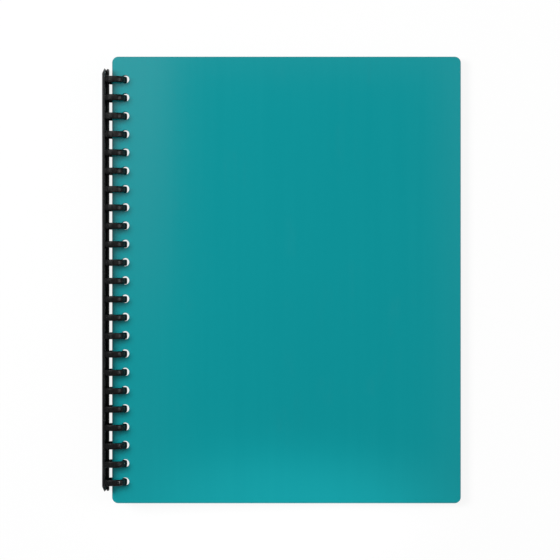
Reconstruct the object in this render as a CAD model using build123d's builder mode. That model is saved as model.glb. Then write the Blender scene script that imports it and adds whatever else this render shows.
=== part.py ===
from build123d import *
import math
import os

# A ring-bound display book that lies closed on its back cover. +X runs from the spine to the
# opening edge, +Y towards the head of the book and +Z out of the front cover. All leaves turn
# about the ring axis, which is parallel to Y. The origin is under the middle of the book.

# Covers, two opaque plastic sheets
cover_width = 242.0
cover_height = 310.0
cover_thickness = 0.8
cover_corner_radius = 4.2
cover_spine_setback = 0.2  # from the ring axis, so that opened covers lie edge to edge

# Clear pockets, each a punched back film with a front film welded to it on three sides
pocket_count = 20
film_thickness = 0.06
pocket_air_gap = 0.04  # between the two films of an empty pocket
leaf_clearance = 0.04  # between one leaf and the next
pocket_spine_edge = 0.6  # the punched edge stays this far outside the ring axis
pocket_fore_inset = 6.0  # from the cover's opening edge
pocket_end_inset = 3.0  # from the cover's head and tail
pocket_mouth_step = 2.0  # the front film stops this far below the back film's head
weld_width = 2.5
hole_to_weld = 1.8

# Rings, which are the fingers of the comb, closed to a D shape by the locking bar
ring_pitch = 12.7
ring_end_margin = 12.0  # least distance from an end ring to the cover's head or tail
ring_row_shift = -0.7  # the row of rings sits a little towards the tail
ring_outer_radius = 10.4
finger_thickness = 1.9
finger_width = 4.4
finger_edge_radius = 0.5
hole_clearance = 0.15
leaf_play = 0.4  # the leaves sit this far towards the head in the play of their holes
root_overlap = 1.0  # degrees by which a finger stops short of the rail's back

# Comb rail, which carries the fingers and the hinge of the locking bar
spine_overrun = 7.3  # past the end rings, as the mean of the two ends
rail_thickness = 1.2
rail_top_drop = 3.0  # below the ring axis
bead_radius = 0.6
bead_clearance = 0.08
mouth_margin = 42.0  # degrees of open groove past the neck when the bar is open
mouth_overreach = 1.3  # the cut for the mouth, as a share of the lip's radius
mouth_sides = 3  # straight sides of that cut

# Locking bar, which swings shut over the tongues on the finger tips
bar_reach = 5.95  # from the ring axis to the back of the book
bar_thickness = 1.7
bar_gap = 0.15  # between the bar and the rail
bar_edge_radius = 0.4
bar_end_inset = 0.8  # the bar stops this far short of the rail's end
bar_chamfer_width = 1.5  # the outer corner of each end, cut off across the bar
bar_chamfer_length = 3.5  # and along it
bar_crown = 0.6  # plastic above a socket
bar_opening = 70.0  # degrees
lip_clearance = 0.2
neck_thickness = 0.6
neck_angle = 125.0  # degrees from +X
neck_root = 0.6  # how far the neck runs into the bar
tongue_drop = 0.4  # below the top of the finger's tip
tongue_thickness = 1.2
tongue_width = 3.2
tongue_reach = 1.0  # into the bar
socket_clearance = 0.2

# Leaves in the stack, measured along the normal of the leaves from the ring axis
leaf_pitch = 2 * film_thickness + pocket_air_gap + leaf_clearance
stack_half = pocket_count * leaf_pitch / 2
cover_inner_face = stack_half + leaf_clearance / 2
cover_outer_face = cover_inner_face + cover_thickness

# Punched holes, just large enough for a finger to pass through the whole stack
ring_inner_radius = ring_outer_radius - finger_thickness
ring_count = 1 + int((cover_height - 2 * ring_end_margin) // ring_pitch)
ring_span = (ring_count - 1) * ring_pitch
finger_nearest = math.sqrt(ring_inner_radius**2 - cover_outer_face**2)
finger_run = (ring_outer_radius - finger_nearest) / 2
hole_centre = finger_nearest + finger_run
hole_row_shift = ring_row_shift + leaf_play
corner_run = finger_run - finger_edge_radius
corner_rise = finger_width / 2 + leaf_play - finger_edge_radius
hole_radius = math.hypot(corner_run, corner_rise) + finger_edge_radius + hole_clearance

# Outlines of the leaves, measured along a leaf from the ring axis
fore_edge = cover_spine_setback + cover_width
pocket_fore_edge = fore_edge - pocket_fore_inset
pocket_height = cover_height - 2 * pocket_end_inset
weld_line = hole_centre + hole_radius + hole_to_weld
front_film_width = pocket_fore_edge - weld_line
front_film_height = pocket_height - pocket_mouth_step

# Spine, measured from the ring axis
spine_length = ring_span + 2 * spine_overrun
bar_inner = bar_reach - bar_thickness
rail_back = bar_inner - bar_gap
groove_radius = bead_radius + bead_clearance
lip_radius = rail_thickness
hinge_x = -rail_back
hinge_z = -math.sqrt((ring_outer_radius - lip_radius) ** 2 - rail_back**2)
tip_height = math.sqrt(ring_outer_radius**2 - rail_back**2)
tongue_top = tip_height - tongue_drop
tongue_bottom = tongue_top - tongue_thickness
bar_top = tongue_top + socket_clearance + bar_crown
bar_foot = hinge_z + lip_radius + lip_clearance
finger_turn = math.degrees(math.acos(rail_back / ring_outer_radius))
root_angle = 180 + finger_turn + root_overlap
tip_angle = 180 - finger_turn

# The closed book rests on its rings and on the opening edge of its back cover, so the leaves tilt
tilt = math.asin(ring_outer_radius / math.hypot(fore_edge, cover_outer_face))
tilt -= math.atan2(cover_outer_face, fore_edge)
fore_reach = fore_edge * math.cos(tilt) + cover_outer_face * math.sin(tilt)
ring_axis_x = (bar_reach - fore_reach) / 2
ring_axis_z = ring_outer_radius
ring_axis = Axis((ring_axis_x, 0, ring_axis_z), (0, -1, 0))

leaf_plane = Plane(
    origin=(ring_axis_x, 0, ring_axis_z),
    x_dir=(math.cos(tilt), 0, -math.sin(tilt)),
    z_dir=(math.sin(tilt), 0, math.cos(tilt)),
)
spine_plane = Plane(origin=(ring_axis_x, 0, ring_axis_z), x_dir=(1, 0, 0), z_dir=(0, -1, 0))
flat_plane = Plane(origin=(ring_axis_x, ring_row_shift, ring_axis_z))
root_radians = math.radians(root_angle)
finger_plane = Plane(
    origin=(ring_axis_x, ring_row_shift, ring_axis_z),
    x_dir=(math.cos(root_radians), 0, math.sin(root_radians)),
    z_dir=(-math.sin(root_radians), 0, math.cos(root_radians)),
)

os.makedirs("parts", exist_ok=True)


def punch_holes():
    """Cut the row of ring holes out of the leaf that is being drawn."""
    with Locations((hole_centre, hole_row_shift)):
        with GridLocations(0, ring_pitch, 1, ring_count):
            Circle(hole_radius, mode=Mode.SUBTRACT)


def make_cover(lower_face):
    """A cover: a rounded sheet with a row of holes, from its lower face upwards."""
    with BuildPart() as cover:
        with BuildSketch(leaf_plane.offset(lower_face)):
            with Locations((cover_spine_setback, 0)):
                RectangleRounded(
                    cover_width, cover_height, cover_corner_radius, align=(Align.MIN, Align.CENTER)
                )
            punch_holes()
        extrude(amount=cover_thickness)
    return cover


def make_back_film(lower_face):
    """The back of a pocket: one flat film that carries the punched edge."""
    with BuildPart() as film:
        with BuildSketch(leaf_plane.offset(lower_face)):
            with Locations((pocket_spine_edge, 0)):
                Rectangle(
                    pocket_fore_edge - pocket_spine_edge,
                    pocket_height,
                    align=(Align.MIN, Align.CENTER),
                )
            punch_holes()
        extrude(amount=film_thickness)
    return film


def make_front_film(lower_face):
    """The front of a pocket: a film on a weld that runs down both sides and along the tail."""
    tail = -pocket_height / 2
    with BuildPart() as film:
        with BuildSketch(leaf_plane.offset(lower_face)):
            with Locations((weld_line, tail)):
                Rectangle(front_film_width, front_film_height, align=(Align.MIN, Align.MIN))
            with Locations((weld_line + weld_width, tail + weld_width)):
                Rectangle(
                    front_film_width - 2 * weld_width,
                    front_film_height,
                    align=(Align.MIN, Align.MIN),
                    mode=Mode.SUBTRACT,
                )
        extrude(amount=pocket_air_gap)
        with BuildSketch(leaf_plane.offset(lower_face + pocket_air_gap)):
            with Locations((weld_line, tail)):
                Rectangle(front_film_width, front_film_height, align=(Align.MIN, Align.MIN))
        extrude(amount=film_thickness)
    return film


# Front cover
front_cover = make_cover(cover_inner_face)
front_cover.part.label = "front_cover"
export_step(front_cover.part, "parts/front_cover.step")

# Back cover
back_cover = make_cover(-cover_outer_face)
back_cover.part.label = "back_cover"
export_step(back_cover.part, "parts/back_cover.step")

# Clear pockets, counted from the front cover
for number in range(1, pocket_count + 1):
    back_face = stack_half - number * leaf_pitch + leaf_clearance / 2

    back_film = make_back_film(back_face)
    back_film.part.label = f"pocket_{number:02d}_back_film"
    export_step(back_film.part, f"parts/{back_film.part.label}.step")

    front_film = make_front_film(back_face + film_thickness)
    front_film.part.label = f"pocket_{number:02d}_front_film"
    export_step(front_film.part, f"parts/{front_film.part.label}.step")

# Ring comb: a rail with a grooved lip, fingers that curl round the ring axis, and their tongues
tongue_inner = math.sqrt(ring_inner_radius**2 - tongue_bottom**2)
tongue_length = bar_inner + tongue_reach - tongue_inner
mouth_reach = mouth_overreach * lip_radius
mouth_start = 90.0  # straight up, at the back of the rail
mouth_end = neck_angle + bar_opening + mouth_margin
mouth_turn = (mouth_end - mouth_start) / mouth_sides
mouth_turns = [mouth_start + mouth_turn * step for step in range(mouth_sides + 1)]
mouth_corners = [
    (
        hinge_x + mouth_reach * math.cos(math.radians(turn)),
        hinge_z + mouth_reach * math.sin(math.radians(turn)),
    )
    for turn in mouth_turns
]
with BuildPart() as ring_comb:
    with BuildSketch(spine_plane):
        with Locations((hinge_x, hinge_z)):
            Rectangle(rail_thickness, -rail_top_drop - hinge_z, align=(Align.MIN, Align.MIN))
            Circle(lip_radius)
    extrude(amount=spine_length / 2, both=True)
    with BuildSketch(finger_plane):
        with Locations((ring_outer_radius - finger_thickness / 2, 0)):
            with GridLocations(0, ring_pitch, 1, ring_count):
                RectangleRounded(finger_thickness, finger_width, finger_edge_radius)
    revolve(axis=ring_axis, revolution_arc=tip_angle + 360 - root_angle)
    with BuildSketch(flat_plane.offset(tongue_bottom)):
        with Locations((-tongue_inner - tongue_length / 2, 0)):
            with GridLocations(0, ring_pitch, 1, ring_count):
                Rectangle(tongue_length, tongue_width)
    extrude(amount=tongue_thickness)
    with BuildSketch(spine_plane):
        with Locations((hinge_x, hinge_z)):
            Circle(groove_radius)
        Polygon((hinge_x, hinge_z), *mouth_corners, align=None)
    extrude(amount=spine_length / 2, both=True, mode=Mode.SUBTRACT)
ring_comb.part.label = "ring_comb"
export_step(ring_comb.part, "parts/ring_comb.step")

# Locking bar: a rounded strip with a neck and a bead at its foot, and a socket for each tongue
neck_length = (bar_foot + neck_root - hinge_z) / math.sin(math.radians(neck_angle))
socket_depth = tongue_reach + socket_clearance
socket_height = tongue_thickness + 2 * socket_clearance
bar_end = spine_length / 2 - bar_end_inset
chamfer_end = bar_end + bar_chamfer_length
chamfer_start = bar_end - 2 * bar_chamfer_length
with BuildPart() as locking_bar:
    with BuildSketch(spine_plane):
        with Locations((-bar_reach + bar_thickness / 2, (bar_top + bar_foot) / 2)):
            RectangleRounded(bar_thickness, bar_top - bar_foot, bar_edge_radius)
        with Locations((hinge_x, hinge_z)):
            Circle(bead_radius)
            Rectangle(
                neck_length, neck_thickness, rotation=neck_angle, align=(Align.MIN, Align.CENTER)
            )
    extrude(amount=bar_end, both=True)
    with BuildSketch(flat_plane.offset(tongue_bottom - socket_clearance)):
        with Locations((-bar_inner, 0)):
            with GridLocations(0, ring_pitch, 1, ring_count):
                Rectangle(2 * socket_depth, tongue_width + 2 * socket_clearance)
    extrude(amount=socket_height, mode=Mode.SUBTRACT)
    # A triangle on each end, larger than the corner that it cuts off
    with BuildSketch(Plane(origin=(ring_axis_x - bar_reach, 0, ring_axis_z))):
        for side in (-1, 1):
            Polygon(
                (2 * bar_chamfer_width, side * chamfer_end),
                (-bar_chamfer_width, side * chamfer_end),
                (-bar_chamfer_width, side * chamfer_start),
                align=None,
            )
    extrude(amount=bar_top - bar_foot, both=True, mode=Mode.SUBTRACT)
locking_bar.part.label = "locking_bar"
export_step(locking_bar.part, "parts/locking_bar.step")

print("ring axis x, z:", round(ring_axis_x, 4), round(ring_axis_z, 4))
print("hinge axis x, z:", round(ring_axis_x + hinge_x, 4), round(ring_axis_z + hinge_z, 4))
print("rings:", ring_count, "hole diameter:", round(2 * hole_radius, 3))
print("hole centre:", round(hole_centre, 3), "tilt:", round(math.degrees(tilt), 4))
print("finger from", round(root_angle, 2), "to", round(tip_angle, 2))
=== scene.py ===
import math

import bpy
import numpy as np
from mathutils import Matrix, Vector


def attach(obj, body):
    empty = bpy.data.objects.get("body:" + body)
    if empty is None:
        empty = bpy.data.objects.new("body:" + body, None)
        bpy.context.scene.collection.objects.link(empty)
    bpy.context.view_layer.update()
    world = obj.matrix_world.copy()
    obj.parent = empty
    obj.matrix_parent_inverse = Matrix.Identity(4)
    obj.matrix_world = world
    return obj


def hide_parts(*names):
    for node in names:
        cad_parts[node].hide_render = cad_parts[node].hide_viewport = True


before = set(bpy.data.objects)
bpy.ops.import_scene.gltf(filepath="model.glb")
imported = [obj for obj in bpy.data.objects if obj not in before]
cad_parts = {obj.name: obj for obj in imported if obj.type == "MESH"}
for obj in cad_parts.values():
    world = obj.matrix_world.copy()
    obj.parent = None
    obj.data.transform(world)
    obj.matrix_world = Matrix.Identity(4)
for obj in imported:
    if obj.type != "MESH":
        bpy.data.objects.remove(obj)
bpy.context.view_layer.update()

# Sizes of the book in metres and degrees, with the same values as the part's source
MM = 0.001

# Covers
COVER_WIDTH = 242.0 * MM
COVER_HEIGHT = 310.0 * MM
COVER_THICKNESS = 0.8 * MM
COVER_START = 0.2 * MM
CORNER_RADIUS = 4.2 * MM

# Pockets
POCKETS = 20
FILM_THICKNESS = 0.06 * MM
AIR_GAP = 0.04 * MM
LEAF_CLEARANCE = 0.04 * MM
FORE_INSET = 6.0 * MM
END_INSET = 3.0 * MM
WELD_WIDTH = 2.5 * MM
HOLE_TO_WELD = 1.8 * MM

# Rings and the holes that they pass through
RING_COUNT = 23
RING_PITCH = 12.7 * MM
RING_SHIFT = -0.7 * MM
RING_RADIUS = 10.4 * MM
FINGER_THICKNESS = 1.9 * MM
FINGER_WIDTH = 4.4 * MM
FINGER_EDGE = 0.5 * MM
ROOT_OVERLAP = math.radians(1.0)
HOLE_CLEARANCE = 0.15 * MM
LEAF_PLAY = 0.4 * MM

# Tongues at the fingers' ends and the sockets that take them
TONGUE_DROP = 0.4 * MM
TONGUE_THICKNESS = 1.2 * MM
TONGUE_WIDTH = 3.2 * MM
TONGUE_REACH = 1.0 * MM
SOCKET_ROOM = 0.2 * MM

# Rail with its groove
SPINE_OVERRUN = 7.3 * MM
RAIL_THICKNESS = 1.2 * MM
RAIL_TOP = -3.0 * MM
GROOVE_RADIUS = 0.68 * MM
MOUTH_END = 237.0

# Locking bar with its neck and bead
BAR_REACH = 5.95 * MM
BAR_THICKNESS = 1.7 * MM
BAR_GAP = 0.15 * MM
BAR_INSET = 0.8 * MM
BAR_CROWN = 0.6 * MM
BAR_ROUND = 0.4 * MM
LIP_CLEARANCE = 0.2 * MM
END_CUT_WIDTH = 1.5 * MM
END_CUT_LENGTH = 3.5 * MM
NECK_ANGLE = 125.0
NECK_HALF = 0.3 * MM
BEAD_RADIUS = 0.6 * MM

# Finishes that only the scene has: softened edges, and how far inside its finger a tongue starts
COVER_ROUND = 0.16 * MM
BAR_CRISP = 0.12 * MM
RAIL_BEVEL = 0.12 * MM
BAR_BEVEL = 0.10 * MM
SHARP_ANGLE = 50.0
TONGUE_ROOT = 0.9 * MM

# Room that keeps the round fingers inside the box of the faceted solids
FACET_ROOM = 0.005 * MM

# Powers of the superellipse sections: 2 is an ellipse, and more is squarer
FINGER_POWER = 3.2
TONGUE_POWER = 7.0
SECTION_POINTS = 32

# Leaves, measured from the ring axis
cover_inner = (POCKETS * (2 * FILM_THICKNESS + AIR_GAP + LEAF_CLEARANCE) + LEAF_CLEARANCE) / 2
cover_outer = cover_inner + COVER_THICKNESS
fore_edge = COVER_START + COVER_WIDTH
finger_nearest = math.sqrt((RING_RADIUS - FINGER_THICKNESS) ** 2 - cover_outer**2)
finger_run = (RING_RADIUS - finger_nearest) / 2
hole_centre = finger_nearest + finger_run
hole_corner = math.hypot(finger_run - FINGER_EDGE, FINGER_WIDTH / 2 + LEAF_PLAY - FINGER_EDGE)
hole_radius = hole_corner + FINGER_EDGE + HOLE_CLEARANCE
weld_line = hole_centre + hole_radius + HOLE_TO_WELD
ring_rows = RING_SHIFT + RING_PITCH * (np.arange(RING_COUNT) - (RING_COUNT - 1) / 2)
hole_rows = ring_rows + LEAF_PLAY

# Spine, measured from the ring axis
spine_half = (RING_COUNT - 1) * RING_PITCH / 2 + SPINE_OVERRUN
bar_inner = BAR_REACH - BAR_THICKNESS
rail_back = bar_inner - BAR_GAP
hinge = np.array((-rail_back, -math.sqrt((RING_RADIUS - RAIL_THICKNESS) ** 2 - rail_back**2)))
tongue_top = math.sqrt(RING_RADIUS**2 - rail_back**2) - TONGUE_DROP
tongue_bottom = tongue_top - TONGUE_THICKNESS
bar_top = tongue_top + SOCKET_ROOM + BAR_CROWN
bar_foot = hinge[1] + RAIL_THICKNESS + LIP_CLEARANCE
finger_turn = math.acos(rail_back / RING_RADIUS)

# The closed book rests on its rings and on the opening edge of its back cover
tilt = math.asin(RING_RADIUS / math.hypot(fore_edge, cover_outer)) - math.atan2(cover_outer, fore_edge)
fore_reach = fore_edge * math.cos(tilt) + cover_outer * math.sin(tilt)
ring_axis = np.array(((BAR_REACH - fore_reach) / 2, 0.0, RING_RADIUS))
leaf_along = np.array((math.cos(tilt), 0.0, -math.sin(tilt)))
leaf_normal = np.array((math.sin(tilt), 0.0, math.cos(tilt)))
leaf_axes = np.stack((leaf_along, (0.0, 1.0, 0.0), leaf_normal))


def leaf_points(along, across, height):
    """Points of a leaf: the ring axis plus along, across and height times the leaf's three directions."""
    return ring_axis + np.stack(np.broadcast_arrays(along, across, height), axis=-1) @ leaf_axes


def spine_points(back, across, up):
    """Points of the spine: the ring axis plus back along X, across along Y and up along Z."""
    return ring_axis + np.stack(np.broadcast_arrays(back, across, up), axis=-1)


def grid_quads(rows, columns, close_columns=False):
    """Quads of a grid of points numbered row by row, its last column joined to its first if asked."""
    row = np.arange(rows - 1)[:, None]
    column = np.arange(columns if close_columns else columns - 1)[None, :]
    after = (column + 1) % columns
    here, beyond = row * columns, (row + 1) * columns
    corners = (here + column, here + after, beyond + after, beyond + column)
    return np.stack(np.broadcast_arrays(*corners), axis=-1).reshape(-1, 4)


def round_box(half_a, half_b, power):
    """A superellipse |a/A|^n + |b/B|^n = 1, as points in order."""
    turn = 2 * math.pi * (np.arange(SECTION_POINTS) + 0.5) / SECTION_POINTS
    c, s = np.cos(turn), np.sin(turn)
    return half_a * np.sign(c) * np.abs(c) ** (2 / power), half_b * np.sign(s) * np.abs(s) ** (2 / power)


def arc(centre, radius, start, stop, count):
    """Points of a circular arc from one angle to another, in degrees, as (back, up) pairs."""
    turn = np.radians(np.linspace(start, stop, count))
    return np.stack((centre[0] + radius * np.cos(turn), centre[1] + radius * np.sin(turn)), axis=-1)


def carried(profile, stations):
    """A closed profile carried along Y, by stations of one Y for each of its points, with closed ends."""
    steps, around = stations.shape
    points = spine_points(profile[None, :, 0], stations, profile[None, :, 1]).reshape(-1, 3)
    ends = [np.arange(around)[None], ((steps - 1) * around + np.arange(around))[None, ::-1]]
    return points, [grid_quads(steps, around, True)[:, ::-1], *ends]


def add_piece(name, shape, body, cad_node, material):
    """Make a mesh of a shape's points and faces, let it ride on its body and stand for its CAD node."""
    points, faces = shape
    used = np.unique(np.concatenate([block.ravel() for block in faces]))
    renumber = np.full(len(points), -1)
    renumber[used] = np.arange(len(used))
    listed = [face for block in faces for face in renumber[block].tolist()]
    mesh = bpy.data.meshes.new(name)
    mesh.from_pydata(points[used].tolist(), [], listed)
    mesh.polygons.foreach_set("use_smooth", np.ones(len(mesh.polygons), bool))
    mesh.materials.append(material)
    mesh.validate()
    piece = bpy.data.objects.new(name, mesh)
    bpy.context.scene.collection.objects.link(piece)
    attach(piece, body)
    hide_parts(cad_node)
    return piece


def flatten_shading(piece):
    """Let the large flat faces rule the shading at their edges."""
    weigh = piece.modifiers.new("flat faces", "WEIGHTED_NORMAL")
    weigh.weight = 80
    weigh.keep_sharp = True


def soften(piece, width):
    """Round off a piece's sharp edges and let its large faces rule the shading."""
    bevel = piece.modifiers.new("softened edges", "BEVEL")
    bevel.width = width
    bevel.segments = 3
    bevel.limit_method = "ANGLE"
    bevel.angle_limit = math.radians(SHARP_ANGLE)
    flatten_shading(piece)


def cover_sheet(lower, upper):
    """A punched cover with rounded corners and softened edges, as (points, faces).

    Each flat face is a grid over along and across. Its end rows follow the outline, which at a distance d
    from a side is half - R + sqrt(R^2 - (R - d)^2) within the corner radius R. Each hole lies in a cell
    of 8 by 8 quads, whose outer points are drawn to the circle at their own angle. A rim is carried round
    each outline: outline + normal * e * cos(a), at the face's height less e, plus e * sin(a).
    """
    e, half_cell = COVER_ROUND, 4.0 * MM
    per_cell, end_rows, corner_columns, middle_columns = 8, 4, 9, 14
    radius, start, stop = CORNER_RADIUS - e, COVER_START + e, fore_edge - e
    half = COVER_HEIGHT / 2 - e
    corner = radius * (1 - np.cos(np.linspace(0, math.pi / 2, corner_columns)))
    cell_columns = np.linspace(hole_centre - half_cell, hole_centre + half_cell, per_cell + 1)
    middle = np.linspace(hole_centre + half_cell, stop - radius, middle_columns)[1:-1]
    along = np.concatenate((start + corner, cell_columns, middle, stop - corner[::-1]))
    inset = np.clip(np.minimum(along - start, stop - along), 0, radius)
    outline = half - radius + np.sqrt(radius**2 - (radius - inset) ** 2)

    low, high = hole_rows[0] - RING_PITCH / 2, hole_rows[-1] + RING_PITCH / 2
    share = np.linspace(0, 1, end_rows + 1)[1:]
    rows = np.linspace(low, high, RING_COUNT * per_cell + 1)
    tail = low + share[::-1] * (-outline[:, None] - low)
    head = high + share * (outline[:, None] - high)
    across = np.concatenate((tail, np.broadcast_to(rows, (len(along), len(rows))), head), axis=1)
    columns, lines = across.shape
    flat = np.stack((np.broadcast_to(along[:, None], across.shape), across), axis=-1).reshape(-1, 2)

    quads = grid_quads(columns, lines)
    at_column, at_line = quads[:, 0] // lines, quads[:, 0] % lines
    in_cells = (at_column >= corner_columns) & (at_column < corner_columns + per_cell)
    in_cells &= (at_line >= end_rows) & (at_line < end_rows + RING_COUNT * per_cell)
    quads = quads[~in_cells][:, [0, 3, 2, 1]]

    step, zero, full = np.arange(per_cell), np.zeros(per_cell, int), np.full(per_cell, per_cell)
    loop_column = corner_columns + np.concatenate((step, full, full - step, zero))
    loop_line = end_rows + np.concatenate((zero, step, full, full - step))
    cell_loop = loop_column * lines + loop_line + per_cell * np.arange(RING_COUNT)[:, None]
    centre = np.stack((np.full(RING_COUNT, hole_centre), hole_rows), axis=-1)[:, None, :]
    spoke = flat[cell_loop] - centre
    spoke /= np.linalg.norm(spoke, axis=-1, keepdims=True)
    hole_points = centre + spoke * (hole_radius + e)
    hole_loop = len(flat) + np.arange(cell_loop.size).reshape(cell_loop.shape)
    follow = np.roll(np.arange(cell_loop.shape[1]), -1)
    ring_corners = (cell_loop, cell_loop[:, follow], hole_loop[:, follow], hole_loop)
    flat = np.concatenate((flat, hole_points.reshape(-1, 2)))
    face = np.concatenate((quads, np.stack(ring_corners, axis=-1).reshape(-1, 4)))

    i, j = np.arange(columns), np.arange(lines)
    tail_side, head_side, fore_side = i * lines, i * lines + lines - 1, (columns - 1) * lines + j
    outer = np.concatenate((tail_side, fore_side[1:], head_side[::-1][1:], j[::-1][1:-1]))
    nearest_along = np.clip(flat[outer, 0], start + radius, stop - radius)
    nearest_across = np.clip(flat[outer, 1], radius - half, half - radius)
    outward = flat[outer] - np.stack((nearest_along, nearest_across), axis=-1)
    outward /= np.linalg.norm(outward, axis=-1, keepdims=True)

    count = len(flat)
    points = [leaf_points(flat[:, 0], flat[:, 1], upper), leaf_points(flat[:, 0], flat[:, 1], lower)]
    faces = [face, count + face[:, ::-1]]
    total = 2 * count
    rim_turns = np.radians((60, 30, 0, 0, -30, -60))
    rim_rows = len(rim_turns)
    heights = np.repeat((upper - e, lower + e), rim_rows // 2) + e * np.sin(rim_turns)
    holes = [(hole_loop[k, ::-1], -spoke[k, ::-1]) for k in range(RING_COUNT)]
    for loop, normal in [(outer, outward), *holes]:
        ring = flat[loop][None] + normal[None] * e * np.cos(rim_turns)[:, None, None]
        points.append(leaf_points(ring[..., 0], ring[..., 1], heights[:, None]).reshape(-1, 3))
        rim = np.concatenate((loop, total + np.arange(rim_rows * len(loop)), count + loop))
        faces.append(rim[grid_quads(rim_rows + 2, len(loop), True)][:, [0, 3, 2, 1]])
        total += rim_rows * len(loop)
    return np.concatenate(points), faces


def ring_fingers():
    """The fingers and their tongues, as (points, faces).

    A finger is a superellipse of thickness by width carried round the ring axis: at the turn u its point
    is (r + a) * (cos u, sin u), b across. The section shrinks by sqrt(1 - t^2) over the last stretch of
    each end. A tongue is the same kind of section carried straight back into the locking bar.
    """
    root, tip, least = 0.03, 0.985, 0.004
    end_steps, middle_steps = 6, 66
    middle = np.linspace(root, tip, middle_steps)[1:-1]
    turn = np.concatenate((np.linspace(0, root, end_steps), middle, np.linspace(tip, 1, end_steps)))
    t = np.maximum(np.clip((root - turn) / root, 0, 1), np.clip((turn - tip) / (1 - tip), 0, 1))
    closing = np.sqrt(np.clip(1 - t**2, least, 1))[:, None]
    a, b = round_box(FINGER_THICKNESS / 2, FINGER_WIDTH / 2, FINGER_POWER)
    first, last = math.pi + finger_turn + ROOT_OVERLAP, 3 * math.pi - finger_turn
    angle = (first + (last - first) * turn)[:, None]
    reach = RING_RADIUS - FACET_ROOM - FINGER_THICKNESS / 2 + a * closing
    finger = spine_points(reach * np.cos(angle), b * closing, reach * np.sin(angle))

    narrow_from = 0.9
    narrowed = np.linspace(narrow_from, 1, end_steps)[1:]
    run = np.concatenate((np.linspace(0, narrow_from, end_steps), narrowed))
    past = np.clip((run - narrow_from) / (1 - narrow_from), 0, 1)
    narrowing = np.sqrt(1 - past**2 / 2)[:, None]
    up, wide = round_box(TONGUE_THICKNESS / 2, TONGUE_WIDTH / 2, TONGUE_POWER)
    tongue_start, tongue_end = rail_back - TONGUE_ROOT, bar_inner + TONGUE_REACH
    back = -(tongue_start + (tongue_end - tongue_start) * run)[:, None]
    tongue = spine_points(back, wide * narrowing, (tongue_top + tongue_bottom) / 2 + up * narrowing)

    points, faces, total = [], [], 0
    row = np.stack((np.zeros(RING_COUNT), ring_rows, np.zeros(RING_COUNT)), axis=-1)
    for form in (finger, tongue):
        steps, around = form.shape[:2]
        points.append((form.reshape(1, -1, 3) + row[:, None, :]).reshape(-1, 3))
        starts = total + steps * around * np.arange(RING_COUNT)[:, None, None]
        faces.append((grid_quads(steps, around, True)[None] + starts).reshape(-1, 4))
        faces.append((np.arange(around)[None, ::-1] + starts[:, 0]).reshape(-1, around))
        faces.append(((steps - 1) * around + np.arange(around)[None] + starts[:, 0]).reshape(-1, around))
        total += RING_COUNT * steps * around
    return np.concatenate(points), faces


def comb_rail():
    """The rail that carries the fingers: a strip with a hooked lip round the groove, carried along Y."""
    lip_end = MOUTH_END - 360.0
    groove_points, lip_points, station_count = 24, 20, 25
    profile = np.concatenate((
        [(-rail_back, RAIL_TOP)],
        arc(hinge, GROOVE_RADIUS, 90, lip_end, groove_points),
        arc(hinge, RAIL_THICKNESS, lip_end, 0, lip_points),
        [(-rail_back + RAIL_THICKNESS, RAIL_TOP)],
    ))
    stations = np.linspace(-spine_half, spine_half, station_count)[:, None] * np.ones(len(profile))
    return carried(profile, stations)


def locking_bar():
    """The strip that closes the fingers, with its neck, bead and sockets, as (points, faces).

    A rounded strip, a slanted neck and a round bead form one closed profile, which is carried along Y.
    Its two ends draw back by length * (1 - distance from the outer face / width) within the width of the
    end cut. Between the edges of a socket the inner face is left out, and a box of five quads is sunk in.
    """
    outer, inner, r = -BAR_REACH, -bar_inner, BAR_ROUND
    socket = (tongue_bottom - SOCKET_ROOM, tongue_top + SOCKET_ROOM)
    aim = math.radians(NECK_ANGLE)
    neck = np.array((math.cos(aim), math.sin(aim)))
    side = np.array((-neck[1], neck[0])) * NECK_HALF
    spread = math.degrees(math.asin(NECK_HALF / BEAD_RADIUS))
    rise, drop = (bar_foot - hinge[1]) / neck[1], NECK_HALF / math.tan(aim)
    bead_points, edge_points = 28, 7
    profile = np.concatenate((
        arc(hinge, BEAD_RADIUS, NECK_ANGLE + spread, NECK_ANGLE - spread + 360, bead_points),
        [hinge - side + neck * (rise + drop)],
        arc((inner - r, bar_foot + r), r, -90, 0, edge_points),
        [(inner, socket[0]), (inner, socket[1])],
        arc((inner - BAR_CRISP, bar_top - BAR_CRISP), BAR_CRISP, 0, 90, edge_points),
        arc((outer + r, bar_top - r), r, 90, 180, edge_points),
        arc((outer + r, bar_foot + r), r, 180, 270, edge_points),
        [hinge + side + neck * (rise - drop)],
    ))
    around, bar_half = len(profile), spine_half - BAR_INSET
    on_socket_edge = np.isclose(profile[:, 1], socket[0]) & np.isclose(profile[:, 0], inner)
    low = int(np.flatnonzero(on_socket_edge)[0])
    socket_edges = ring_rows[:, None] + (TONGUE_WIDTH / 2 + SOCKET_ROOM) * np.array((-1.0, 1.0))
    at_sockets = socket_edges.reshape(-1, 1) * np.ones(around)
    drawn = END_CUT_LENGTH * np.clip(1 - (profile[:, 0] - outer) / END_CUT_WIDTH, 0, 1)
    stations = np.concatenate(([drawn - bar_half], at_sockets, [bar_half - drawn]))
    points, faces = carried(profile, stations)
    spans = len(stations) - 1
    sides = faces[0].reshape(spans, around, 4)
    kept = np.ones((spans, around), bool)
    kept[1::2, low] = False
    opened = sides[1::2, low]
    depth = np.array((-TONGUE_REACH - SOCKET_ROOM, 0.0, 0.0))
    sunk = len(points) + np.arange(opened.size).reshape(opened.shape)
    points = np.concatenate((points, (points[opened] + depth).reshape(-1, 3)))
    follow = np.array((1, 2, 3, 0))
    walls = np.stack((opened, opened[:, follow], sunk[:, follow], sunk), axis=-1).reshape(-1, 4)
    return points, [sides[kept], *faces[1:], walls, sunk]


# Materials

# Smooth noise mostly keeps between these two values
NOISE_LOW, NOISE_HIGH = 0.3, 0.7


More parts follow.
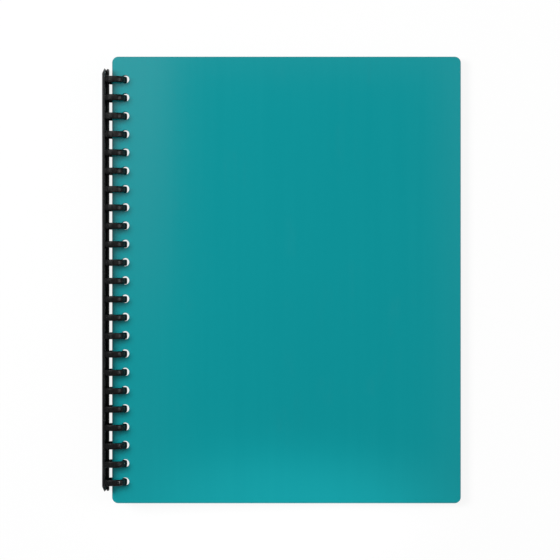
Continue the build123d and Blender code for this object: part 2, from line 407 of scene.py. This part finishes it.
def new_group(name, inputs, outputs):
    """An empty shader node group with named value sockets, and its two end nodes."""
    group = bpy.data.node_groups.new(name, "ShaderNodeTree")
    for socket, default in inputs:
        made = group.interface.new_socket(name=socket, in_out="INPUT", socket_type="NodeSocketFloat")
        made.default_value = default
    for socket in outputs:
        group.interface.new_socket(name=socket, in_out="OUTPUT", socket_type="NodeSocketFloat")
    return group, group.nodes.new("NodeGroupInput"), group.nodes.new("NodeGroupOutput")


def node(tree, kind, links=None, **values):
    """A node of a tree, with its plain settings and its inputs set or linked by socket name or number."""
    made = tree.nodes.new(kind)
    for key, value in values.items():
        setattr(made, key, value)
    for key, value in (links or {}).items():
        if isinstance(value, bpy.types.NodeSocket):
            tree.links.new(value, made.inputs[key])
        else:
            made.inputs[key].default_value = value
    return made


def ranged(tree, value, low, high, to_low, to_high, smooth=False):
    """The value mapped from one range to another, held at the ends."""
    kind = "SMOOTHSTEP" if smooth else "LINEAR"
    links = {0: value, 1: low, 2: high, 3: to_low, 4: to_high}
    return node(tree, "ShaderNodeMapRange", links, interpolation_type=kind).outputs[0]


def noise_ranged(tree, pattern, to_low, to_high):
    """A noise pattern stretched over a range of its own."""
    return ranged(tree, pattern, NOISE_LOW, NOISE_HIGH, to_low, to_high)


def maths(tree, operation, a, b=0.0):
    """One step of arithmetic on two values."""
    return node(tree, "ShaderNodeMath", {0: a, 1: b}, operation=operation).outputs[0]


def noise(tree, place, scale, detail):
    """Smooth noise from 0 to 1 at a number of lumps per metre."""
    return node(tree, "ShaderNodeTexNoise", {"Vector": place, "Scale": scale, "Detail": detail}).outputs[0]


def blended(tree, share, first, second):
    """Two colours mixed by a share."""
    return node(tree, "ShaderNodeMix", {0: share, 6: first, 7: second}, data_type="RGBA").outputs[2]


def bumped(tree, shader, height, strength, distance):
    """Raise the surface by a height pattern, through a Bump node on the shader's Normal."""
    bump = node(tree, "ShaderNodeBump", {"Strength": strength, "Distance": distance, "Height": height})
    tree.links.new(bump.outputs[0], shader.inputs["Normal"])


def new_material(name):
    """A material with its Principled shader linked to the output."""
    material = bpy.data.materials.new(name)
    material.use_nodes = True
    tree = material.node_tree
    return material, tree, tree.nodes["Principled BSDF"]


def use_group(tree, group, **values):
    """A group placed in a material, with its own values by socket name."""
    placed = node(tree, "ShaderNodeGroup", node_tree=group)
    for key, value in values.items():
        placed.inputs[key.replace("_", " ")].default_value = value
    return placed


def make_sheet_grain():
    """Calendered plastic, from Object coordinates: fine grain, streaks along the rollers, slow clouds."""
    inputs = [("Grain per Metre", 2600.0), ("Streaks per Metre", 220.0), ("Streak Share", 0.5)]
    group, ends_in, ends_out = new_group("calendered grain", inputs, ["Tone", "Height", "Clouds"])
    place = node(group, "ShaderNodeTexCoord").outputs["Object"]
    fine = noise(group, place, ends_in.outputs["Grain per Metre"], 3.0)
    drawn = node(group, "ShaderNodeMapping", {"Vector": place, "Scale": (1.0, 0.02, 1.0)}).outputs[0]
    streaks = noise(group, drawn, ends_in.outputs["Streaks per Metre"], 4.0)
    clouds = noise(group, place, 9.0, 2.0)
    shared = {0: ends_in.outputs["Streak Share"], 2: fine, 3: streaks}
    tone = node(group, "ShaderNodeMix", shared, data_type="FLOAT").outputs[0]
    group.links.new(tone, ends_out.inputs["Tone"])
    group.links.new(fine, ends_out.inputs["Height"])
    group.links.new(clouds, ends_out.inputs["Clouds"])
    return group


def make_handling_marks():
    """Hairline scratches that run every way, from Object coordinates, as a mask that is 1 on a scratch."""
    inputs = [("Marks per Metre", 60.0), ("Fineness", 0.012)]
    group, ends_in, ends_out = new_group("handling marks", inputs, ["Mask"])
    place = node(group, "ShaderNodeTexCoord").outputs["Object"]
    masks = []
    for turn, stretch in ((0.5, 0.05), (1.7, 0.04), (2.6, 0.06)):
        drawn = {"Vector": place, "Rotation": (0.0, 0.0, turn), "Scale": (1.0, stretch, 1.0)}
        along_marks = node(group, "ShaderNodeMapping", drawn).outputs[0]
        lines = noise(group, along_marks, ends_in.outputs["Marks per Metre"], 5.0)
        off = maths(group, "ABSOLUTE", maths(group, "SUBTRACT", lines, 0.5))
        masks.append(maths(group, "LESS_THAN", off, ends_in.outputs["Fineness"]))
    patches = noise(group, place, 34.0, 1.0)
    kept = ranged(group, patches, 0.56, 0.68, 0.0, 1.0, smooth=True)
    both = maths(group, "MAXIMUM", maths(group, "MAXIMUM", masks[0], masks[1]), masks[2])
    group.links.new(maths(group, "MULTIPLY", both, kept), ends_out.inputs["Mask"])
    return group


def make_leaf_place():
    """Where a point lies on its leaf, from Object coordinates: along it from the ring axis, and across."""
    group, _, ends_out = new_group("place on the leaf", [], ["Along", "Across"])
    place = node(group, "ShaderNodeTexCoord").outputs["Object"]
    shift = node(group, "ShaderNodeVectorMath", {0: place, 1: tuple(ring_axis)}, operation="SUBTRACT")
    reach = {0: shift.outputs[0], 1: tuple(leaf_along)}
    along = node(group, "ShaderNodeVectorMath", reach, operation="DOT_PRODUCT")
    across = node(group, "ShaderNodeSeparateXYZ", {0: place})
    group.links.new(along.outputs["Value"], ends_out.inputs["Along"])
    group.links.new(across.outputs["Y"], ends_out.inputs["Across"])
    return group


sheet_grain = make_sheet_grain()
handling_marks = make_handling_marks()
leaf_place = make_leaf_place()


def teal_cover_material():
    """Teal sheet plastic: smooth gloss, fine grain, faint spine-wise streaks, edges painted darker as shade.
    """
    darker, lighter = (0.0024, 0.276, 0.306, 1), (0.0034, 0.290, 0.321, 1)
    faded, painted_edge_shade = (0.0026, 0.270, 0.303, 1), (0.010, 0.190, 0.208, 1)
    most_faded, most_painted_edge_shade, mark_dulling, wear_dulling = 0.3, 0.6, 0.08, 0.2
    material, tree, shader = new_material("teal cover sheet")
    grain = use_group(tree, sheet_grain, Grain_per_Metre=2400.0, Streaks_per_Metre=260.0, Streak_Share=0.5)
    marks = use_group(tree, handling_marks, Marks_per_Metre=70.0, Fineness=0.006)
    place = use_group(tree, leaf_place)
    along, across = place.outputs["Along"], place.outputs["Across"]
    from_spine = maths(tree, "SUBTRACT", along, COVER_START)
    from_fore = maths(tree, "SUBTRACT", fore_edge, along)
    from_end = maths(tree, "SUBTRACT", COVER_HEIGHT / 2, maths(tree, "ABSOLUTE", across))
    to_edge = maths(tree, "MINIMUM", maths(tree, "MINIMUM", from_spine, from_fore), from_end)
    # Within a millimetre of the outer edges the colour is painted darker as shade, and the roughness rises
    # as wear
    rim = ranged(tree, to_edge, 1.0 * MM, 0.3 * MM, 0.0, 1.0, smooth=True)
    shade_and_wear_rim = maths(tree, "MULTIPLY", rim, noise_ranged(tree, grain.outputs["Tone"], 0.6, 1.0))

    tone = noise_ranged(tree, grain.outputs["Tone"], 0.0, 1.0)
    colour = blended(tree, tone, darker, lighter)
    fading = ranged(tree, grain.outputs["Clouds"], 0.35, 0.65, 0.0, most_faded)
    colour = blended(tree, fading, colour, faded)
    # Painted shade: the rim's darker teal stands in for the edge falling into shade
    colour = blended(tree, maths(tree, "MULTIPLY", shade_and_wear_rim, most_painted_edge_shade), colour, painted_edge_shade)
    tree.links.new(colour, shader.inputs["Base Color"])
    rough = ranged(tree, tone, 0.0, 1.0, 0.11, 0.14)
    rough = maths(tree, "ADD", rough, maths(tree, "MULTIPLY", marks.outputs["Mask"], mark_dulling))
    rough = maths(tree, "ADD", rough, maths(tree, "MULTIPLY", shade_and_wear_rim, wear_dulling))
    tree.links.new(rough, shader.inputs["Roughness"])
    bumped(tree, shader, grain.outputs["Height"], strength=0.02, distance=0.1 * MM)
    shader.inputs["IOR"].default_value = 1.49
    return material


def black_spine_material(name, dark, light, smooth, dull):
    """Black moulded plastic between two tones and two roughnesses, mottled by the mould, finely scuffed."""
    blueness, scuff, mark_dulling = 1.06, light + 0.012, 0.15
    material, tree, shader = new_material(name)
    grain = use_group(tree, sheet_grain, Grain_per_Metre=3200.0, Streaks_per_Metre=500.0, Streak_Share=0.25)
    marks = use_group(tree, handling_marks, Marks_per_Metre=160.0, Fineness=0.010)
    tone = noise_ranged(tree, grain.outputs["Tone"], 0.0, 1.0)
    colour = blended(tree, tone, (dark, dark, blueness * dark, 1), (light, light, blueness * light, 1))
    colour = blended(tree, marks.outputs["Mask"], colour, (scuff, scuff, scuff, 1))
    tree.links.new(colour, shader.inputs["Base Color"])
    rough = ranged(tree, tone, 0.0, 1.0, smooth, dull)
    rough = maths(tree, "ADD", rough, maths(tree, "MULTIPLY", marks.outputs["Mask"], mark_dulling))
    tree.links.new(rough, shader.inputs["Roughness"])
    bumped(tree, shader, grain.outputs["Height"], strength=0.05, distance=0.1 * MM)
    return material


def clear_film_material():
    """Clear pocket film: slight haze, slow waves, a ribbed weld on three sides, painted light at cut edges.
    """
    # cut is the whitish colour of the painted light at the films' outer edges
    thin, thick, cut = (0.40, 0.44, 0.45, 1), (0.50, 0.53, 0.54, 1), (0.86, 0.88, 0.88, 1)
    glance_haze, weld_haze, painted_glow_haze = 0.35, 0.05, 0.45
    radians_per_metre, wave_height, rib_height = 5200.0, 6.0, 0.5
    material, tree, shader = new_material("clear pocket film")
    place = use_group(tree, leaf_place)
    along, across = place.outputs["Along"], place.outputs["Across"]
    from_spine = maths(tree, "SUBTRACT", along, weld_line)
    from_fore = maths(tree, "SUBTRACT", fore_edge - FORE_INSET, along)
    from_tail = maths(tree, "ADD", across, COVER_HEIGHT / 2 - END_INSET)
    from_head = maths(tree, "SUBTRACT", COVER_HEIGHT / 2 - END_INSET, across)
    outer = maths(tree, "MINIMUM", from_fore, from_tail)
    # Painted light: within 0.6 mm of the outer edges the film is whitish and less clear, for light scattered
    # through the cut edges
    painted_edge_glow = ranged(tree, maths(tree, "MINIMUM", outer, from_head), 0.6 * MM, 0.3 * MM, 0.0, 1.0)
    inside = maths(tree, "GREATER_THAN", from_spine, 0.0)
    to_weld = ranged(tree, maths(tree, "MINIMUM", from_spine, outer), WELD_WIDTH, 0.8 * WELD_WIDTH, 0.0, 1.0)
    welded = maths(tree, "MULTIPLY", to_weld, inside)
    slant = maths(tree, "MULTIPLY", maths(tree, "ADD", along, across), radians_per_metre)
    ribs = maths(tree, "SINE", slant)
    grain = use_group(tree, sheet_grain, Grain_per_Metre=900.0, Streaks_per_Metre=120.0, Streak_Share=0.7)

    haze = noise_ranged(tree, grain.outputs["Tone"], 0.020, 0.034)
    facing = node(tree, "ShaderNodeLayerWeight", {"Blend": 0.25}).outputs["Facing"]
    glancing = maths(tree, "MULTIPLY", maths(tree, "POWER", facing, 3.0), glance_haze)
    alpha = maths(tree, "ADD", haze, glancing)
    alpha = maths(tree, "ADD", alpha, maths(tree, "MULTIPLY", welded, weld_haze))
    alpha = maths(tree, "ADD", alpha, maths(tree, "MULTIPLY", painted_edge_glow, painted_glow_haze))
    tree.links.new(alpha, shader.inputs["Alpha"])
    colour = blended(tree, noise_ranged(tree, grain.outputs["Clouds"], 0.0, 1.0), thin, thick)
    tree.links.new(blended(tree, painted_edge_glow, colour, cut), shader.inputs["Base Color"])
    tree.links.new(noise_ranged(tree, grain.outputs["Tone"], 0.08, 0.14), shader.inputs["Roughness"])
    waves = maths(tree, "MULTIPLY", grain.outputs["Clouds"], wave_height)
    raised = maths(tree, "MULTIPLY", maths(tree, "MULTIPLY", ribs, welded), rib_height)
    bumped(tree, shader, maths(tree, "ADD", waves, raised), strength=0.3, distance=0.2 * MM)
    return material


def pale_floor_material():
    """A plain pale floor that the camera sees as white, with the object's soft shadow kept in part.

    Glossy rays see the floor as it is lit, because the black bar would mirror the white as a stripe.
    """
    white_share = 0.89
    material, tree, shader = new_material("pale studio floor")
    place = node(tree, "ShaderNodeTexCoord").outputs["Object"]
    pale = blended(tree, noise(tree, place, 3.0, 2.0), (0.90, 0.90, 0.90, 1), (0.93, 0.93, 0.93, 1))
    tree.links.new(pale, shader.inputs["Base Color"])
    shader.inputs["Roughness"].default_value = 0.9
    shader.inputs["Specular IOR Level"].default_value = 0.1
    white = node(tree, "ShaderNodeEmission", {"Color": (1, 1, 1, 1), "Strength": 1.0})
    path = node(tree, "ShaderNodeLightPath")
    seen = maths(tree, "MAXIMUM", path.outputs["Is Camera Ray"], path.outputs["Is Transmission Ray"])
    share = maths(tree, "MULTIPLY", seen, white_share)
    mixed = node(tree, "ShaderNodeMixShader", {0: share, 1: shader.outputs[0], 2: white.outputs[0]})
    tree.links.new(mixed.outputs[0], tree.nodes["Material Output"].inputs["Surface"])
    return material


teal = teal_cover_material()
black = black_spine_material("black spine moulding", dark=0.0050, light=0.0090, smooth=0.24, dull=0.32)
# The bar's tones are painted light: a lighter copy of the fingers' black moulding stands in for the sheen on
# its top
painted_light_black = black_spine_material("black bar painted lighter", dark=0.0110, light=0.0165, smooth=0.20, dull=0.28)
clear = clear_film_material()

# The covers, the comb and the bar stand for their solids
front_sheet = cover_sheet(cover_inner, cover_outer)
back_sheet = cover_sheet(-cover_outer, -cover_inner)
front = add_piece("front_cover_sheet", front_sheet, "front_cover", "front_cover", teal)
back = add_piece("back_cover_sheet", back_sheet, "back_cover", "back_cover", teal)
add_piece("comb_fingers", ring_fingers(), "ring_spine", "ring_comb", black)
rail = add_piece("comb_rail", comb_rail(), "ring_spine", "ring_comb", black)
bar = add_piece("locking_strip", locking_bar(), "locking_bar", "locking_bar", painted_light_black)
flatten_shading(front)
flatten_shading(back)
soften(rail, RAIL_BEVEL)
soften(bar, BAR_BEVEL)

# The pocket films are the solids themselves. They dim the light too little to be worth tracing through each.
for number in range(1, POCKETS + 1):
    for side in ("front", "back"):
        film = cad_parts[f"pocket_{number:02d}_{side}_film"]
        film.data.materials.clear()
        film.data.materials.append(clear)
        film.visible_shadow = film.visible_diffuse = film.visible_glossy = False

# Floor
FLOOR_REACH = 6.0
FLOOR_DROP = 0.3 * MM
floor_corners = np.array(((-1, -1, 0), (1, -1, 0), (1, 1, 0), (-1, 1, 0))) * FLOOR_REACH
floor_mesh = bpy.data.meshes.new("floor")
floor_mesh.from_pydata((floor_corners - (0, 0, FLOOR_DROP)).tolist(), [], [(0, 1, 2, 3)])
floor_mesh.materials.append(pale_floor_material())
floor = bpy.data.objects.new("floor", floor_mesh)
bpy.context.scene.collection.objects.link(floor)

# An even dome of light, which the glossy plastic mirrors only faintly and the camera sees as white
AMBIENT = 0.18
MIRRORED_AMBIENT = 0.03
world = bpy.data.worlds.new("studio")
world.use_nodes = True
bpy.context.scene.world = world
sky = world.node_tree
path = node(sky, "ShaderNodeLightPath")
dome = ranged(sky, path.outputs["Is Glossy Ray"], 0.0, 1.0, AMBIENT, MIRRORED_AMBIENT)
backdrop = sky.nodes["Background"].inputs
backdrop["Color"].default_value = (1, 1, 1, 1)
sky.links.new(maths(sky, "MAXIMUM", dome, path.outputs["Is Camera Ray"]), backdrop["Strength"])

# Lamps, in metres, watts and radians
PANEL_HEIGHT = 0.8


def aim_lamp(light, place, aim):
    """Put a lamp in the scene at a place, facing its aim and unseen by the camera."""
    lamp = bpy.data.objects.new(light.name, light)
    lamp.location = place
    lamp.rotation_euler = (Vector(aim) - Vector(place)).to_track_quat("-Z", "Y").to_euler()
    lamp.visible_camera = False
    bpy.context.scene.collection.objects.link(lamp)
    return lamp


def softbox(name, place, width, depth, power, aim=(0, 0, 0)):
    """A rectangular soft light at a place, facing its aim."""
    light = bpy.data.lights.new(name, "AREA")
    light.shape = "RECTANGLE"
    light.size = width
    light.size_y = depth
    light.energy = power
    return aim_lamp(light, place, aim)


def panel(name, left, right, tail, head, power):
    """A level panel above the table, between its four sides, that shows as a faint sheen on the plastic."""
    middle = ((left + right) / 2, (tail + head) / 2)
    return softbox(name, (*middle, PANEL_HEIGHT), right - left, head - tail, power, aim=(*middle, 0.0))


def grade(lamp, dimmest, brightest, side_share):
    """Let a panel grow brighter from tail to head, and across it from a share where its own X starts."""
    lamp.data.use_nodes = True
    fade = lamp.data.node_tree
    spot = node(fade, "ShaderNodeNewGeometry").outputs["Parametric"]
    place = node(fade, "ShaderNodeSeparateXYZ", {0: spot})
    headward = ranged(fade, place.outputs["Y"], 0.3, 0.7, dimmest, brightest)
    sideward = ranged(fade, place.outputs["X"], 0.0, 0.6, side_share, 1.0)
    fade.links.new(maths(fade, "MULTIPLY", headward, sideward), fade.nodes["Emission"].inputs["Strength"])


# The key light stands at the upper left, so the locking bar shades the edge of the cover
key = softbox("key_softbox", place=(-2.40, 0.75, 2.12), width=1.5, depth=1.2, power=112.0)
fill = softbox("fill_softbox", place=(1.00, 0.20, 0.90), width=0.8, depth=0.8, power=1.1)
key.visible_glossy = fill.visible_glossy = False
softbox("right_strip", place=(1.50, 0.10, 0.80), width=0.6, depth=0.6, power=2.5)
softbox("head_softbox", place=(-0.10, 0.80, 0.90), width=0.8, depth=0.5, power=0.9)
left_panel = panel("left_panel", left=-0.275, right=-0.0914, tail=-0.40, head=0.70, power=0.46)
right_panel = panel("right_panel", left=0.195, right=0.60, tail=-0.40, head=0.70, power=0.46)
panel("bar_panel", left=-0.42, right=-0.20, tail=0.06, head=0.46, power=0.40)
panel("head_panel", left=-0.40, right=0.60, tail=0.222, head=0.70, power=0.33)
panel("tail_panel", left=-0.40, right=0.60, tail=-0.70, head=-0.195, power=0.16)
grade(left_panel, dimmest=0.14, brightest=1.6, side_share=0.55)
grade(right_panel, dimmest=0.4, brightest=1.3, side_share=1.0)

# A narrow lamp from the right brightens the tail end of the cover
tail_light = bpy.data.lights.new("tail_spot", "SPOT")
tail_light.energy = 24.5
tail_light.spot_size = 0.1257
tail_light.spot_blend = 1.0
tail_light.shadow_soft_size = 0.02
aim_lamp(tail_light, place=(0.914, -0.168, 0.48), aim=(0.014, -0.168, 0.013))

# The camera faces the front cover squarely, at a point measured on the leaf from the ring axis
FRAME_PIXELS = 560
PIXEL_ON_COVER = 0.6942 * MM
VIEW_DISTANCE = 1.5
VIEW_ALONG = 116.70 * MM
VIEW_ACROSS = -0.035 * MM
SENSOR_WIDTH = 36.0
camera_data = bpy.data.cameras.new("camera")
camera_data.sensor_width = SENSOR_WIDTH
camera_data.lens = SENSOR_WIDTH * VIEW_DISTANCE / (FRAME_PIXELS * PIXEL_ON_COVER)
camera = bpy.data.objects.new("camera", camera_data)
bpy.context.scene.collection.objects.link(camera)
eye = leaf_points(VIEW_ALONG, VIEW_ACROSS, cover_outer + VIEW_DISTANCE)
camera.matrix_world = Matrix.Translation(Vector(eye)) @ Matrix(leaf_axes.T.tolist()).to_4x4()
bpy.context.scene.camera = camera

# Enough see-through steps for a line of sight through all the films, which have two faces each
bpy.context.scene.cycles.transparent_max_bounces = 128
bpy.context.scene.view_settings.view_transform = "Standard"
